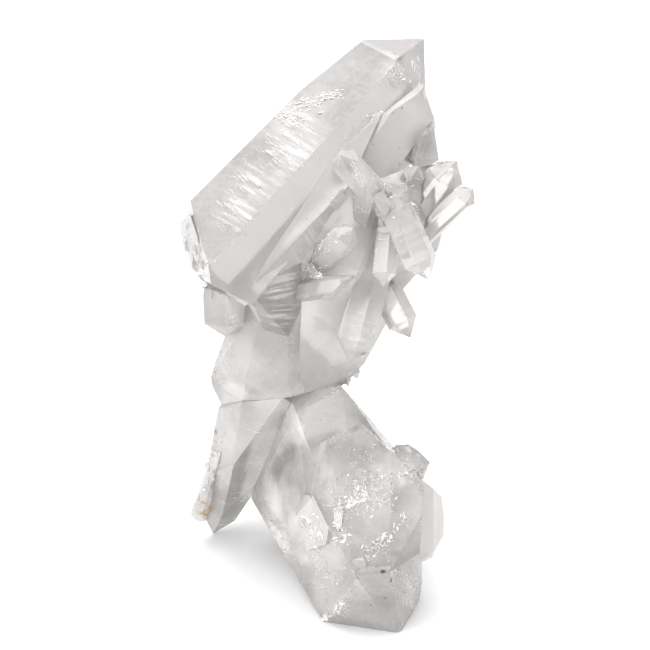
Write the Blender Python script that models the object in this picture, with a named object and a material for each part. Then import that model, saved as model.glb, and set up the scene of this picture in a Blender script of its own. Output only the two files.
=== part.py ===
"""A free-standing quartz crystal cluster, as one solid.

Every crystal is a six-sided prism with a six-faced point, cut from a block by flat planes at the
angles that quartz grows at. A few stout crystals, too broken or too crowded for a whole prism,
are drawn by their corners. The crystals cross each other at their roots, and a Boolean union
makes them one piece, as they grew.

Lengths are millimetres. A place is (across, up, back): across to the right and up are measured on
a sheet that leans back from the upright by LEAN, and back is measured level from the front foot.
"""

import math

import bmesh
import bpy
from mathutils import Matrix, Vector

MM = 0.001
LEAN = math.radians(25.0)
SIDES = 6
POINT_SLOPE = math.radians(51.8)  # between the long axis and the normal of a point's face, in quartz
ACROSS = Vector((1.0, 0.0, 0.0))
UP = Vector((0.0, math.sin(LEAN), math.cos(LEAN)))
READER = Vector((0.0, -math.cos(LEAN), math.sin(LEAN)))

# name: tip, root, turn of the first face away from the reader in degrees, widths of the first four
# faces (one width for all where they are alike), and how much wider the root is than the shoulder.
# Chips are extra flat faces and breaks: a place on each, and the way it faces as parts across, up and
# towards the reader.
CRYSTALS = {
    "great_point": dict(
        tip=(24.7, 148.1, 60.0), root=(-43.9, 72.5, 1.2), turn=-35, widths=(14.8, 12.6, 12.8, 14.0),
        spread=1.25,
        chips=(
            ((-6.3, 133.9, 40.0), (-0.64, 0.77, 0.0)), ((-31.7, 109.7, 12.0), (-0.85, 0.53, 0.0)),
            ((-30.2, 87.6, 13.0), (-0.7, -0.7, 0.0)), ((-28.6, 93.3, 4.6), (-0.94, -0.13, 0.19)),
            ((-25.5, 85.7, 12.0), (-0.47, -0.88, 0.0)), ((22.3, 140.0, 44.0), (0.93, 0.08, 0.36)),
        ),
    ),
    "second_point": dict(
        tip=(30.0, 143.7, 44.9), root=(-6.3, 91.1, 26.0), turn=15, widths=(9.4, 7.5, 8.5, 8.5),
        chips=(
            ((25.4, 130.7, 36.0), (0.94, 0.33, 0.0)), ((24.4, 129.2, 33.6), (0.8, 0.26, 0.54)),
            ((18.7, 130.5, 33.9), (-0.54, 0.8, 0.24)),
        ),
    ),
    "spur_upper": dict(tip=(3.2, 116.8, 6.0), root=(14.5, 106.0, 22.0), widths=3.6, turn=10),
    "fan_wide": dict(tip=(31.9, 116.6, 26.0), root=(18.6, 98.2, 32.0), widths=4.8, turn=20),
    "fan_outer": dict(tip=(35.8, 109.6, 20.0), root=(23.2, 98.0, 28.0), widths=3.0, turn=15),
    "blade_long": dict(tip=(25.0, 87.5, 8.0), root=(16.1, 107.2, 18.0), widths=4.2, turn=-10),
    "blade_short": dict(tip=(14.0, 85.8, 10.0), root=(15.2, 100.0, 18.0), widths=3.0, turn=20),
    "spur_low": dict(tip=(21.0, 73.6, 18.0), root=(15.0, 85.4, 24.0), widths=3.9, turn=10),
    "ledge_point": dict(tip=(7.2, 100.2, 11.0), root=(-4.0, 89.5, 18.0), widths=3.4, turn=15),
    "cross_point": dict(
        tip=(8.2, 87.2, 7.6), root=(-7.0, 85.4, 18.0), widths=3.2, turn=10,
        chips=(((3.4, 85.6, 9.0), (0.6, -0.76, 0.2)), ((0.0, 88.3, 10.0), (-0.04, 1.0, 0.1))),
    ),
    "blade_broad": dict(tip=(6.0, 67.4, 14.0), root=(14.4, 100.0, 27.0), widths=4.9, turn=20),
    "fan_inner": dict(tip=(22.6, 115.2, 24.0), root=(16.5, 103.0, 30.0), widths=3.0, turn=25),
    "back_high": dict(tip=(4.0, 104.0, 74.0), root=(2.0, 84.0, 40.0), widths=7.0, turn=20),
    "back_right": dict(tip=(22.0, 112.0, 62.0), root=(12.0, 96.0, 38.0), widths=4.6, turn=5),
    "back_left": dict(tip=(-16.0, 69.0, 70.0), root=(-10.0, 74.0, 44.0), widths=5.2, turn=30),
    "back_low": dict(tip=(0.0, 30.0, 72.0), root=(4.0, 40.0, 40.0), widths=9.0, turn=20),
    "back_foot": dict(tip=(20.0, 36.0, 60.0), root=(12.0, 34.0, 34.0), widths=6.0, turn=10),
}

# The corners of each stout crystal, as places; a few of them lie inside the cluster, where it grows
# into its neighbours.
BLOCKS = {
    "right_leg": (
        (-0.5, 2.2, 5.2), (18.0, -0.25, -0.3), (19.25, 0.25, 0.6), (23.8, 6.9, 12.0),
        (24.7, 11.2, 18.0), (4.5, 2.2, 5.2), (10.3, 1.2, 2.9), (4.0, 7.0, 0.5), (7.75, 14.25, -2.0),
        (15.75, 14.75, -2.0), (-7.25, 54.75, 27.0), (-8.25, 57.0, 30.0), (-1.75, 60.75, 30.0),
        (4.75, 60.75, 28.0), (9.1, 55.6, 30.0), (16.7, 47.0, 24.0), (16.25, 45.0, 16.6),
        (-19.3, 31.6, 44.0), (-13.9, 38.7, 37.0), (-9.5, 28.8, 26.0), (-4.9, 9.2, 16.0),
        (-15.0, 48.0, 42.0), (-10.0, 30.0, 55.0), (-2.0, 14.4, 36.0), (19.0, 14.4, 36.0),
        (25.0, 34.0, 42.0), (0.0, 60.0, 48.0), (-8.0, 70.0, 46.0), (-4.0, 68.0, 42.0),
    ),
    "left_leg": (
        (-27.4, 55.3, 42.0), (-21.0, 57.2, 31.0), (-10.5, 58.5, 29.0), (-8.5, 57.0, 32.0),
        (-9.1, 52.5, 36.0), (-11.5, 46.4, 39.0), (-14.9, 38.8, 42.0), (-19.2, 32.0, 46.0),
        (-23.8, 25.2, 49.0), (-29.6, 21.5, 51.6), (-31.4, 25.4, 50.0), (-31.2, 37.2, 46.0),
        (-28.6, 44.2, 44.0), (-27.8, 50.2, 43.0), (-23.4, 41.0, 35.5), (-26.8, 27.0, 44.0),
        (-16.0, 40.0, 60.0), (-22.0, 56.0, 56.0), (-12.0, 58.0, 52.0), (-26.0, 36.0, 60.0),
        (-20.0, 68.0, 48.0), (-13.0, 68.0, 46.0),
    ),
    "left_rind": (
        (-29.3, 43.5, 44.0), (-31.8, 36.5, 46.0), (-35.4, 27.4, 48.0), (-34.3, 25.3, 49.0),
        (-31.7, 24.8, 50.0), (-26.6, 44.2, 39.0), (-29.2, 36.2, 42.0), (-30.0, 32.0, 44.0),
        (-32.0, 28.0, 45.0), (-26.0, 38.0, 52.0), (-28.0, 30.0, 52.0), (-26.0, 42.0, 50.0),
    ),
    "front_leg": (
        (-1.25, 47.25, 18.0), (0.5, 48.25, 18.0), (9.0, 52.5, 19.5), (16.5, 45.0, 14.4),
        (24.5, 38.0, 13.0), (-1.5, 37.75, 12.8), (-3.75, 34.25, 11.0), (7.5, 15.2, -2.8),
        (16.0, 15.6, -2.8), (23.6, 20.0, 3.5), (24.2, 30.0, 8.0), (10.0, 40.0, 30.0),
        (20.0, 20.0, 20.0), (6.0, 20.0, 20.0),
    ),
    "bulge": (
        (24.5, 38.0, 14.0), (29.4, 33.5, 20.0), (30.1, 28.9, 20.0), (30.1, 23.6, 19.0),
        (27.1, 17.8, 17.0), (24.4, 16.9, 14.0), (27.0, 36.0, 15.0), (27.4, 20.0, 11.0),
        (20.0, 36.0, 14.0), (18.0, 22.0, 6.0), (18.0, 30.0, 34.0),
    ),
    "rubble": (
        (17.5, 46.75, 20.0), (20.75, 47.0, 20.0), (23.5, 45.25, 20.0), (26.25, 42.5, 19.0),
        (25.0, 40.5, 18.0), (24.75, 38.25, 20.0), (18.0, 42.0, 14.5), (22.0, 41.0, 13.5),
        (18.0, 36.0, 24.0),
    ),
    "waist": (
        (-26.2, 55.7, 42.0), (-28.8, 61.0, 42.0), (-29.2, 63.6, 42.0), (-26.75, 67.75, 41.0),
        (-25.0, 73.25, 40.0), (-23.0, 80.0, 34.0), (-15.0, 84.0, 20.0), (-5.75, 80.75, 17.0),
        (-9.0, 73.75, 20.0), (-9.25, 63.25, 25.0), (-8.5, 58.75, 27.5), (-10.5, 58.5, 28.0),
        (-21.0, 57.25, 32.0), (-20.0, 70.0, 55.0), (0.0, 70.0, 55.0), (4.0, 62.0, 34.0),
        (4.0, 60.5, 40.0),
    ),
    "trunk": (
        (-5.75, 92.5, 14.0), (6.0, 111.75, 22.0), (15.0, 111.0, 26.0), (19.5, 84.75, 30.0),
        (14.75, 77.5, 30.0), (9.75, 69.75, 30.0), (9.9, 67.0, 31.0), (5.2, 62.0, 31.0),
        (-8.5, 58.75, 29.0), (-9.25, 63.25, 26.0), (-9.0, 73.75, 21.0), (-5.75, 80.75, 17.0),
        (3.0, 76.0, 20.0), (8.0, 90.0, 18.0), (0.0, 75.0, 52.0), (14.0, 90.0, 48.0),
        (20.0, 105.0, 44.0), (-12.0, 90.0, 44.0),
    ),
    "side_band": (
        (-18.2, 85.6, 4.0), (-16.0, 89.4, 6.3), (-11.0, 95.9, 10.9), (-4.8, 105.9, 17.4),
        (-1.4, 111.2, 20.9), (2.7, 117.8, 25.3), (11.2, 126.5, 32.5), (14.0, 128.6, 33.8),
        (11.7, 123.7, 31.6), (8.7, 118.2, 26.7), (5.8, 110.5, 21.2), (-1.2, 99.1, 16.4),
        (-5.6, 92.0, 13.7), (-6.0, 91.0, 30.0), (12.0, 118.0, 45.0), (-12.0, 94.0, 30.0),
    ),
    "apron": (
        (-18.5, 85.3, 5.0), (-16.0, 89.4, 7.0), (-5.6, 92.0, 13.9), (-5.75, 80.75, 16.5),
        (-9.0, 73.75, 19.6), (-15.0, 75.5, 20.0), (-18.8, 82.0, 12.0), (-12.0, 85.0, 32.0),
    ),
    "fan_root": (
        (13.0, 112.0, 24.0), (21.25, 115.5, 30.0), (26.3, 116.2, 32.0), (28.75, 100.5, 30.0), (29.0, 98.0, 34.0),
        (27.8, 95.2, 33.0), (25.6, 94.2, 33.0), (21.2, 89.2, 30.0), (21.0, 87.4, 30.0),
        (19.2, 85.4, 30.0), (12.0, 80.0, 27.0), (14.0, 100.0, 18.0), (20.0, 100.0, 19.0),
        (20.0, 110.0, 22.0), (16.0, 100.0, 45.0), (26.0, 100.0, 42.0),
    ),
    "core": (
        (-22.0, 62.0, 38.0), (-8.0, 62.0, 29.0), (4.0, 62.5, 32.0), (3.0, 52.0, 38.0),
        (-4.0, 46.0, 50.0), (-18.0, 50.0, 52.0), (-20.0, 75.0, 50.0), (2.0, 75.0, 48.0),
        (-10.0, 75.0, 27.0),
    ),
    "glassy_facet": (
        (-6.0, 34.2, 20.0), (-3.0, 34.4, 10.0), (-1.0, 29.4, 10.8), (1.0, 26.4, 5.0), (0.3, 22.0, 7.8),
        (-4.4, 19.8, 14.8), (-7.5, 28.2, 21.2), (-1.0, 26.0, 26.0),
    ),
    "left_knob": (
        (-29.8, 86.0, 26.0), (-30.2, 84.0, 27.0), (-29.0, 81.25, 28.0), (-30.1, 77.0, 30.0),
        (-25.0, 73.75, 32.0), (-22.0, 76.0, 26.0), (-24.0, 84.0, 22.0), (-20.0, 84.0, 40.0),
        (-26.0, 90.0, 34.0), (-14.0, 78.0, 38.0),
    ),
    "broken_end": (
        (-35.3, 101.6, 22.0), (-35.1, 98.6, 20.0), (-33.9, 97.6, 18.0), (-33.0, 95.0, 18.0),
        (-32.9, 92.8, 18.0), (-31.4, 90.3, 19.0), (-29.4, 86.1, 22.0), (-28.5, 88.0, 18.0),
        (-29.4, 92.0, 11.0), (-30.5, 97.75, 11.0), (-32.6, 103.6, 18.0), (-26.0, 96.0, 30.0),
    ),
    "shoulder": (
        (26.4, 126.8, 36.0), (26.5, 125.1, 34.0), (25.8, 121.8, 33.0), (27.8, 116.9, 31.0),
        (26.0, 115.8, 30.0), (21.7, 114.7, 28.0), (22.0, 117.6, 28.0), (23.6, 122.6, 31.0),
        (20.0, 118.0, 42.0), (26.0, 122.0, 44.0),
    ),
}


def in_part(place):
    across, up, back = place
    return Vector((across, back, up / math.cos(LEAN) - back * math.tan(LEAN))) * MM


def cut(block, point, normal):
    """Takes away what lies on the normal's side of a plane, and closes the cut with one flat face."""
    geometry = block.verts[:] + block.edges[:] + block.faces[:]
    made = bmesh.ops.bisect_plane(
        block, geom=geometry, dist=1e-7, plane_co=point, plane_no=normal, clear_outer=True
    )
    rim = [edge for edge in made["geom_cut"] if isinstance(edge, bmesh.types.BMEdge)]
    bmesh.ops.edgeloop_fill(block, edges=[edge for edge in rim if edge.is_boundary])


def outline(turn, widths):
    """The prism's section: faces 60 degrees apart round the axis, whatever the width of each."""
    if isinstance(widths, (int, float)):
        widths = (widths,) * 4
    first, second, third, fourth = widths
    widths = (first, second, third, fourth, first + second - fourth, third + fourth - first)
    corners, place = [], Vector((0.0, 0.0))
    for side, width in enumerate(widths):
        angle = math.radians(turn + 60 * side)
        corners.append(place.copy())
        place += Vector((math.cos(angle), -math.sin(angle))) * width
    middle = sum(corners, Vector((0.0, 0.0))) / SIDES
    return [corner - middle for corner in corners]


def crystal(tip, root, turn=0.0, widths=5.0, spread=1.0, chips=()):
    """One crystal as a bmesh: a block cut by six prism faces and the six faces of its point."""
    tip, root = in_part(tip), in_part(root)
    axis = (tip - root).normalized()
    toward = (READER - axis * READER.dot(axis)).normalized()
    side_way = axis.cross(toward)
    corners = outline(turn, widths)
    block = bmesh.new()
    bmesh.ops.create_cube(block, size=4 * (tip - root).length + 0.1)
    bmesh.ops.translate(block, verts=block.verts, vec=(tip + root) / 2)
    cut(block, root, -axis)

    def place(corner, grow, along):
        return along + (side_way * corner.x + toward * corner.y) * grow * MM

    for side in range(SIDES):
        here, there = corners[side], corners[(side + 1) % SIDES]
        first, second = place(here, 1.0, tip), place(there, 1.0, tip)
        third = place(here, spread, root)
        cut(block, first, (third - first).cross(second - first).normalized())
        angle = math.radians(turn + 60 * side)
        outward = side_way * math.sin(angle) + toward * math.cos(angle)
        normal = outward * math.sin(POINT_SLOPE) + axis * math.cos(POINT_SLOPE)
        cut(block, tip, normal)
    for spot, way in chips:
        across, up, toward = way
        cut(block, in_part(spot), ACROSS * across + UP * up + READER * toward)
    bmesh.ops.recalc_face_normals(block, faces=block.faces)
    return block


def chunk(corners):
    """A crystal drawn by its corners: the flat-faced skin drawn tight around them."""
    block = bmesh.new()
    for corner in corners:
        block.verts.new(in_part(corner))
    bmesh.ops.convex_hull(block, input=block.verts)
    bmesh.ops.delete(block, geom=[v for v in block.verts if not v.link_faces], context="VERTS")
    bmesh.ops.recalc_face_normals(block, faces=block.faces)
    return block


def as_object(block, name):
    mesh = bpy.data.meshes.new(name)
    block.to_mesh(mesh)
    block.free()
    thing = bpy.data.objects.new(name, mesh)
    bpy.context.collection.objects.link(thing)
    return thing


def join(body, other):
    """The two as one solid, with nothing left over inside."""
    union = body.modifiers.new("union", "BOOLEAN")
    union.operation = "UNION"
    union.solver = "EXACT"
    union.object = other
    bpy.context.view_layer.objects.active = body
    bpy.ops.object.modifier_apply(modifier=union.name)
    bpy.data.objects.remove(other)


def stand(body):
    """Cuts the solid level where it stands, and puts its bottom centre on the origin."""
    skin = bmesh.new()
    skin.from_mesh(body.data)
    bmesh.ops.remove_doubles(skin, verts=skin.verts, dist=2e-6)
    cut(skin, Vector((0, 0, 0)), Vector((0, 0, -1)))
    bmesh.ops.dissolve_limit(skin, angle_limit=math.radians(0.2), verts=skin.verts, edges=skin.edges)
    bmesh.ops.triangulate(skin, faces=skin.faces)
    low = Vector([min(v.co[i] for v in skin.verts) for i in range(3)])
    high = Vector([max(v.co[i] for v in skin.verts) for i in range(3)])
    middle = (low + high) / 2
    bmesh.ops.translate(skin, verts=skin.verts, vec=(-middle.x, -middle.y, -low.z))
    bmesh.ops.recalc_face_normals(skin, faces=skin.faces)
    skin.to_mesh(body.data)
    skin.free()
    return middle


def quartz():
    look = bpy.data.materials.new("quartz")
    look.use_nodes = True
    shader = look.node_tree.nodes["Principled BSDF"]
    shader.inputs["Base Color"].default_value = (0.88, 0.88, 0.87, 1.0)
    shader.inputs["Roughness"].default_value = 0.12
    shader.inputs["Transmission Weight"].default_value = 0.6
    shader.inputs["IOR"].default_value = 1.544
    return look


def build():
    for thing in list(bpy.data.objects):
        bpy.data.objects.remove(thing)
    blocks = [(name, crystal(**drawn)) for name, drawn in CRYSTALS.items()]
    blocks += [(name, chunk(corners)) for name, corners in BLOCKS.items()]
    body = None
    for name, block in blocks:
        thing = as_object(block, name)
        if body is None:
            body = thing
        else:
            join(body, thing)
    stand(body)
    body.name = body.data.name = "quartz_cluster"
    body.data.materials.append(quartz())


build()
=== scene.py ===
# %% [markdown]
# # A quartz crystal cluster
# Rock crystal grows as six-sided prisms, each with a six-faced point. In a cluster many of them grow
# through each other: here one great leaning point, a second one behind it, a fan of small side points,
# a waisted trunk and two stout legs that it stands on. The solid model already has these crystals as
# one plain solid. This lesson builds the same crystals with eased edges, and then gives them what makes
# quartz look like quartz: growth lines, milky clouds, silky streaks, broken rind and glints inside.

# %% Load the solid model and note its box
import math
import random

import bmesh
import bpy
from mathutils import Matrix, Vector
from mathutils.bvhtree import BVHTree


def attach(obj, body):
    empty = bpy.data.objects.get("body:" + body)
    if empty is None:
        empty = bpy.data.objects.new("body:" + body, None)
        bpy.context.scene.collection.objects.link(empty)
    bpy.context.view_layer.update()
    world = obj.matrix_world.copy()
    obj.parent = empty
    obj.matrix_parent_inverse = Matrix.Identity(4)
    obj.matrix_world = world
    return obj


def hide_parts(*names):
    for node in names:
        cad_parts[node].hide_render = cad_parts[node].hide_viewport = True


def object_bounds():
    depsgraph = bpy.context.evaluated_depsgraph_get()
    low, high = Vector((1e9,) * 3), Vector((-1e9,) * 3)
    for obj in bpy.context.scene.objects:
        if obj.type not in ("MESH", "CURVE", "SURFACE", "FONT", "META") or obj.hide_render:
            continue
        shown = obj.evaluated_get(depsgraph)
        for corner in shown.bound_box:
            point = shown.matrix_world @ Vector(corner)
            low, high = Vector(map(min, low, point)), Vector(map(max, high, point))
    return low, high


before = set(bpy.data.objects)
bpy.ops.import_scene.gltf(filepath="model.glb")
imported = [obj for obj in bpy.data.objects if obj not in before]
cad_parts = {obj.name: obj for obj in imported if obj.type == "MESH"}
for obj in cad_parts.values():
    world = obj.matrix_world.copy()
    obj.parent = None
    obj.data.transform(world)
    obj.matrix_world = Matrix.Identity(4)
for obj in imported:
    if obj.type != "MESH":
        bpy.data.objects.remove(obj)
SOLID_BOX = [list(corner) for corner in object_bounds()]
print("solid model, metres:", SOLID_BOX)

# %% [markdown]
# ## Places on the cluster
# The cluster is easiest to describe as it faces its reader: how far across, how far up on a sheet that
# leans back by 25 degrees, and how far back from the front foot. One function turns such a place, in
# millimetres, into metres in the model's own axes. Every crystal and every glint uses it, so that all
# of them sit in one frame.

# %% Places in millimetres
MM = 0.001
LEAN = math.radians(25)
MIDDLE = Vector((0.43, 35.6, 0))  # where the model's own origin lies, as across, back, height
ACROSS = Vector((1, 0, 0))
UP = Vector((0, math.sin(LEAN), math.cos(LEAN)))
READER = Vector((0, -math.cos(LEAN), math.sin(LEAN)))


def at(across, up, back):
    height = up / math.cos(LEAN) - back * math.tan(LEAN)
    return (Vector((across, back, height)) - MIDDLE) * MM


print("the great point's tip is at", [round(c, 4) for c in at(24.7, 148.1, 60)])

# %% [markdown]
# ## The crystals by name
# Each prism is drawn by its tip and its root, the turn of its first face and the widths of its faces,
# in millimetres. The great point was broken at its root, which its chips cut flat. The stout crystals
# that are too crowded for a whole prism are drawn by their corners.

# %% The prisms
CRYSTALS = {
    "great_point": dict(
        tip=(24.7, 148.1, 60), root=(-43.9, 72.5, 1.2), turn=-35, widths=(14.8, 12.6, 12.8, 14),
        spread=1.25,
        chips=(
            ((-6.3, 133.9, 40), (-0.64, 0.77, 0)), ((-31.7, 109.7, 12), (-0.85, 0.53, 0)),
            ((-30.2, 87.6, 13), (-0.7, -0.7, 0)), ((-28.6, 93.3, 4.6), (-0.94, -0.13, 0.19)),
            ((-25.5, 85.7, 12), (-0.47, -0.88, 0)), ((22.3, 140, 44), (0.93, 0.08, 0.36)),
        ),
    ),
    "second_point": dict(
        tip=(30, 143.7, 44.9), root=(-6.3, 91.1, 26), turn=15, widths=(9.4, 7.5, 8.5, 8.5),
        chips=(
            ((25.4, 130.7, 36), (0.94, 0.33, 0)), ((24.4, 129.2, 33.6), (0.8, 0.26, 0.54)),
            ((18.7, 130.5, 33.9), (-0.54, 0.8, 0.24)),
        ),
    ),
    "spur_upper": dict(tip=(3.2, 116.8, 6), root=(14.5, 106, 22), widths=3.6, turn=10),
    "fan_wide": dict(tip=(31.9, 116.6, 26), root=(18.6, 98.2, 32), widths=4.8, turn=20),
    "fan_outer": dict(tip=(35.8, 109.6, 20), root=(23.2, 98, 28), widths=3, turn=15),
    "blade_long": dict(tip=(25, 87.5, 8), root=(16.1, 107.2, 18), widths=4.2, turn=-10),
    "blade_short": dict(tip=(14, 85.8, 10), root=(15.2, 100, 18), widths=3, turn=20),
    "spur_low": dict(tip=(21, 73.6, 18), root=(15, 85.4, 24), widths=3.9, turn=10),
    "ledge_point": dict(tip=(7.2, 100.2, 11), root=(-4, 89.5, 18), widths=3.4, turn=15),
    "cross_point": dict(
        tip=(8.2, 87.2, 7.6), root=(-7, 85.4, 18), widths=3.2, turn=10,
        chips=(((3.4, 85.6, 9), (0.6, -0.76, 0.2)), ((0, 88.3, 10), (-0.04, 1, 0.1))),
    ),
    "blade_broad": dict(tip=(6, 67.4, 14), root=(14.4, 100, 27), widths=4.9, turn=20),
    "fan_inner": dict(tip=(22.6, 115.2, 24), root=(16.5, 103, 30), widths=3, turn=25),
    "back_high": dict(tip=(4, 104, 74), root=(2, 84, 40), widths=7, turn=20),
    "back_right": dict(tip=(22, 112, 62), root=(12, 96, 38), widths=4.6, turn=5),
    "back_left": dict(tip=(-16, 69, 70), root=(-10, 74, 44), widths=5.2, turn=30),
    "back_low": dict(tip=(0, 30, 72), root=(4, 40, 40), widths=9, turn=20),
    "back_foot": dict(tip=(20, 36, 60), root=(12, 34, 34), widths=6, turn=10),
}

# %% The stout crystals, by their corners
BLOCKS = {
    "right_leg": (
        (-0.5, 2.2, 5.2), (18, -0.25, -0.3), (19.25, 0.25, 0.6), (23.8, 6.9, 12), (24.7, 11.2, 18),
        (4.5, 2.2, 5.2), (10.3, 1.2, 2.9), (4, 7, 0.5), (7.75, 14.25, -2), (15.75, 14.75, -2),
        (-7.25, 54.75, 27), (-8.25, 57, 30), (-1.75, 60.75, 30), (4.75, 60.75, 28), (9.1, 55.6, 30),
        (16.7, 47, 24), (16.25, 45, 16.6), (-19.3, 31.6, 44), (-13.9, 38.7, 37), (-9.5, 28.8, 26),
        (-4.9, 9.2, 16), (-15, 48, 42), (-10, 30, 55), (-2, 14.4, 36), (19, 14.4, 36), (25, 34, 42),
        (0, 60, 48), (-8, 70, 46), (-4, 68, 42),
    ),
    "left_leg": (
        (-27.4, 55.3, 42), (-21, 57.2, 31), (-10.5, 58.5, 29), (-8.5, 57, 32), (-9.1, 52.5, 36),
        (-11.5, 46.4, 39), (-14.9, 38.8, 42), (-19.2, 32, 46), (-23.8, 25.2, 49), (-29.6, 21.5, 51.6),
        (-31.4, 25.4, 50), (-31.2, 37.2, 46), (-28.6, 44.2, 44), (-27.8, 50.2, 43), (-23.4, 41, 35.5),
        (-26.8, 27, 44), (-16, 40, 60), (-22, 56, 56), (-12, 58, 52), (-26, 36, 60), (-20, 68, 48),
        (-13, 68, 46),
    ),
    "left_rind": (
        (-29.3, 43.5, 44), (-31.8, 36.5, 46), (-35.4, 27.4, 48), (-34.3, 25.3, 49), (-31.7, 24.8, 50),
        (-26.6, 44.2, 39), (-29.2, 36.2, 42), (-30, 32, 44), (-32, 28, 45), (-26, 38, 52),
        (-28, 30, 52), (-26, 42, 50),
    ),
    "front_leg": (
        (-1.25, 47.25, 18), (0.5, 48.25, 18), (9, 52.5, 19.5), (16.5, 45, 14.4), (24.5, 38, 13),
        (-1.5, 37.75, 12.8), (-3.75, 34.25, 11), (7.5, 15.2, -2.8), (16, 15.6, -2.8), (23.6, 20, 3.5),
        (24.2, 30, 8), (10, 40, 30), (20, 20, 20), (6, 20, 20),
    ),
    "bulge": (
        (24.5, 38, 14), (29.4, 33.5, 20), (30.1, 28.9, 20), (30.1, 23.6, 19), (27.1, 17.8, 17),
        (24.4, 16.9, 14), (27, 36, 15), (27.4, 20, 11), (20, 36, 14), (18, 22, 6), (18, 30, 34),
    ),
    "rubble": (
        (17.5, 46.75, 20), (20.75, 47, 20), (23.5, 45.25, 20), (26.25, 42.5, 19), (25, 40.5, 18),
        (24.75, 38.25, 20), (18, 42, 14.5), (22, 41, 13.5), (18, 36, 24),
    ),
    "waist": (
        (-26.2, 55.7, 42), (-28.8, 61, 42), (-29.2, 63.6, 42), (-26.75, 67.75, 41), (-25, 73.25, 40),
        (-23, 80, 34), (-15, 84, 20), (-5.75, 80.75, 17), (-9, 73.75, 20), (-9.25, 63.25, 25),
        (-8.5, 58.75, 27.5), (-10.5, 58.5, 28), (-21, 57.25, 32), (-20, 70, 55), (0, 70, 55),
        (4, 62, 34), (4, 60.5, 40),
    ),
    "trunk": (
        (-5.75, 92.5, 14), (6, 111.75, 22), (15, 111, 26), (19.5, 84.75, 30), (14.75, 77.5, 30),
        (9.75, 69.75, 30), (9.9, 67, 31), (5.2, 62, 31), (-8.5, 58.75, 29), (-9.25, 63.25, 26),
        (-9, 73.75, 21), (-5.75, 80.75, 17), (3, 76, 20), (8, 90, 18), (0, 75, 52), (14, 90, 48),
        (20, 105, 44), (-12, 90, 44),
    ),
    "side_band": (
        (-18.2, 85.6, 4), (-16, 89.4, 6.3), (-11, 95.9, 10.9), (-4.8, 105.9, 17.4),
        (-1.4, 111.2, 20.9), (2.7, 117.8, 25.3), (11.2, 126.5, 32.5), (14, 128.6, 33.8),
        (11.7, 123.7, 31.6), (8.7, 118.2, 26.7), (5.8, 110.5, 21.2), (-1.2, 99.1, 16.4),
        (-5.6, 92, 13.7), (-6, 91, 30), (12, 118, 45), (-12, 94, 30),
    ),
    "apron": (
        (-18.5, 85.3, 5), (-16, 89.4, 7), (-5.6, 92, 13.9), (-5.75, 80.75, 16.5), (-9, 73.75, 19.6),
        (-15, 75.5, 20), (-18.8, 82, 12), (-12, 85, 32),
    ),
    "fan_root": (
        (13, 112, 24), (21.25, 115.5, 30), (26.3, 116.2, 32), (28.75, 100.5, 30), (29, 98, 34),
        (27.8, 95.2, 33), (25.6, 94.2, 33), (21.2, 89.2, 30), (21, 87.4, 30), (19.2, 85.4, 30),
        (12, 80, 27), (14, 100, 18), (20, 100, 19), (20, 110, 22), (16, 100, 45), (26, 100, 42),
    ),
    "core": (
        (-22, 62, 38), (-8, 62, 29), (4, 62.5, 32), (3, 52, 38), (-4, 46, 50), (-18, 50, 52),
        (-20, 75, 50), (2, 75, 48), (-10, 75, 27),
    ),
    "glassy_facet": (
        (-6, 34.2, 20), (-3, 34.4, 10), (-1, 29.4, 10.8), (1, 26.4, 5), (0.3, 22, 7.8),
        (-4.4, 19.8, 14.8), (-7.5, 28.2, 21.2), (-1, 26, 26),
    ),
    "left_knob": (
        (-29.8, 86, 26), (-30.2, 84, 27), (-29, 81.25, 28), (-30.1, 77, 30), (-25, 73.75, 32),
        (-22, 76, 26), (-24, 84, 22), (-20, 84, 40), (-26, 90, 34), (-14, 78, 38),
    ),
    "broken_end": (
        (-35.3, 101.6, 22), (-35.1, 98.6, 20), (-33.9, 97.6, 18), (-33, 95, 18), (-32.9, 92.8, 18),
        (-31.4, 90.3, 19), (-29.4, 86.1, 22), (-28.5, 88, 18), (-29.4, 92, 11), (-30.5, 97.75, 11),
        (-32.6, 103.6, 18), (-26, 96, 30),
    ),
    "shoulder": (
        (26.4, 126.8, 36), (26.5, 125.1, 34), (25.8, 121.8, 33), (27.8, 116.9, 31), (26, 115.8, 30),
        (21.7, 114.7, 28), (22, 117.6, 28), (23.6, 122.6, 31), (20, 118, 42), (26, 122, 44),
    ),
}
print(len(CRYSTALS), "prisms and", len(BLOCKS), "stout crystals")

# %% [markdown]
# ## Cutting a crystal from a block
# A crystal could be extruded from a hexagon, but its faces are seldom the same width, and its point is
# never quite regular. So each one starts as a cube that flat planes cut down, as nature's own growth
# planes do: six for the prism, six for the point at quartz's own angle of 51.8 degrees, and then the
# chips. The cut ends are closed with one flat face each.

# %% One plane cut
SIDES = 6
SIDE_TURN = 360 // SIDES
POINT_SLOPE = math.radians(51.8)
ON_THE_PLANE = 1e-7  # metres


def cut(block, point, normal):
    geometry = block.verts[:] + block.edges[:] + block.faces[:]
    made = bmesh.ops.bisect_plane(
        block, geom=geometry, dist=ON_THE_PLANE, plane_co=point, plane_no=normal, clear_outer=True
    )
    rim = [edge for edge in made["geom_cut"] if isinstance(edge, bmesh.types.BMEdge)]
    bmesh.ops.edgeloop_fill(block, edges=[edge for edge in rim if edge.is_boundary])


# %% The prism's section
def section(turn, widths):
    """The six corners. Four widths are free, and the other two follow, because the outline closes."""
    if isinstance(widths, (int, float)):
        widths = (widths,) * 4
    first, second, third, fourth = widths
    widths = (first, second, third, fourth, first + second - fourth, third + fourth - first)
    corners, place = [], Vector((0, 0))
    for side, width in enumerate(widths):
        angle = math.radians(turn + SIDE_TURN * side)
        corners.append(place.copy())
        place += Vector((math.cos(angle), -math.sin(angle))) * width
    middle = sum(corners, Vector((0, 0))) / SIDES
    return [corner - middle for corner in corners]


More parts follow.
